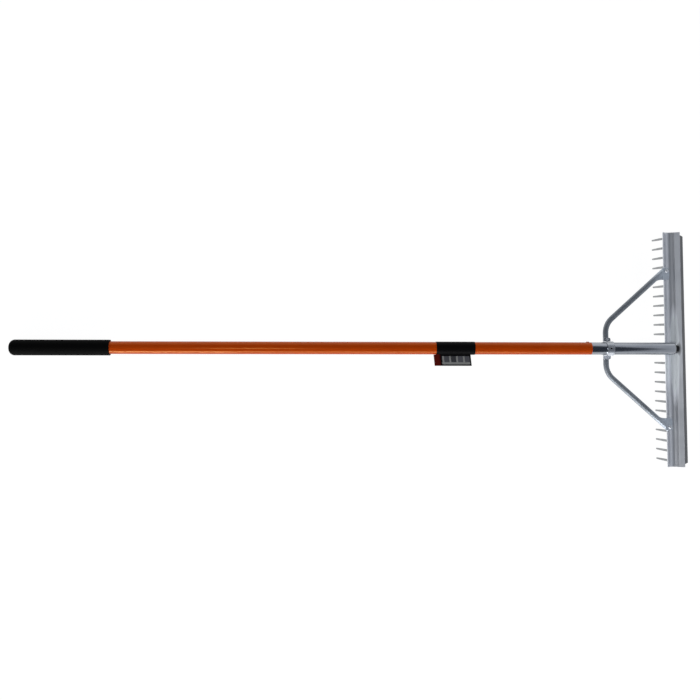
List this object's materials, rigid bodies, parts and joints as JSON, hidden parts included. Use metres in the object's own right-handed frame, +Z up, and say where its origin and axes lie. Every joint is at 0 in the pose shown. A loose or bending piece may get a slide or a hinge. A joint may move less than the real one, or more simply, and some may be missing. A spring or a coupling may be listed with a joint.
{
  "type": "landscape rake",
  "caption": "Landscape rake with an orange tube handle, black grip, bare aluminium head tube, bent brace bar and an extruded rail of straight round teeth, laid on its teeth.",
  "frame": {"origin": "middle of the tool's box at floor level, with the tool resting on its tooth tips and on the grip's butt", "axes": "+X along the handle from the grip towards the rail, +Y along the rail, +Z up from the floor the teeth rest on"},
  "size_m": [1.7142, 0.602, 0.098],
  "materials": {
    "handle_paint": "gloss",
    "grip_rubber": "matte",
    "plug_plastic": "matte",
    "tube_aluminium": "satin",
    "rail_aluminium": "satin",
    "bar_aluminium": "matte",
    "strap_aluminium": "satin",
    "tooth_steel": "satin",
    "fastener_steel": "satin",
    "black_steel": "satin",
    "card_black": "satin",
    "card_print": "matte"
  },
  "bodies": {
    "root": {"handle_tube": "handle_paint", "butt_plug": "plug_plastic", "hand_grip": "grip_rubber", "head_tube": "tube_aluminium", "handle_rivet": "handle_paint", "head_rail": "rail_aluminium", "brace_bar": "bar_aluminium", "saddle_strap": "strap_aluminium", "saddle_bolts": "fastener_steel", "saddle_nuts": "fastener_steel", "saddle_screw": "black_steel", "foot_bolts": "fastener_steel", "rail_bolt": "fastener_steel", "rail_washer": "fastener_steel", "label_card": "card_black", "label_panel": "card_print", "tooth_01": "tooth_steel", "tooth_02": "tooth_steel", "tooth_03": "tooth_steel", "tooth_04": "tooth_steel", "tooth_05": "tooth_steel", "tooth_06": "tooth_steel", "tooth_07": "tooth_steel", "tooth_08": "tooth_steel", "tooth_09": "tooth_steel", "tooth_10": "tooth_steel", "tooth_11": "tooth_steel", "tooth_12": "tooth_steel", "tooth_13": "tooth_steel", "tooth_14": "tooth_steel", "tooth_15": "tooth_steel", "tooth_16": "tooth_steel", "tooth_17": "tooth_steel", "tooth_18": "tooth_steel", "tooth_19": "tooth_steel", "tooth_20": "tooth_steel", "tooth_21": "tooth_steel", "tooth_22": "tooth_steel", "tooth_23": "tooth_steel", "tooth_24": "tooth_steel"}
  },
  "joints": []
}
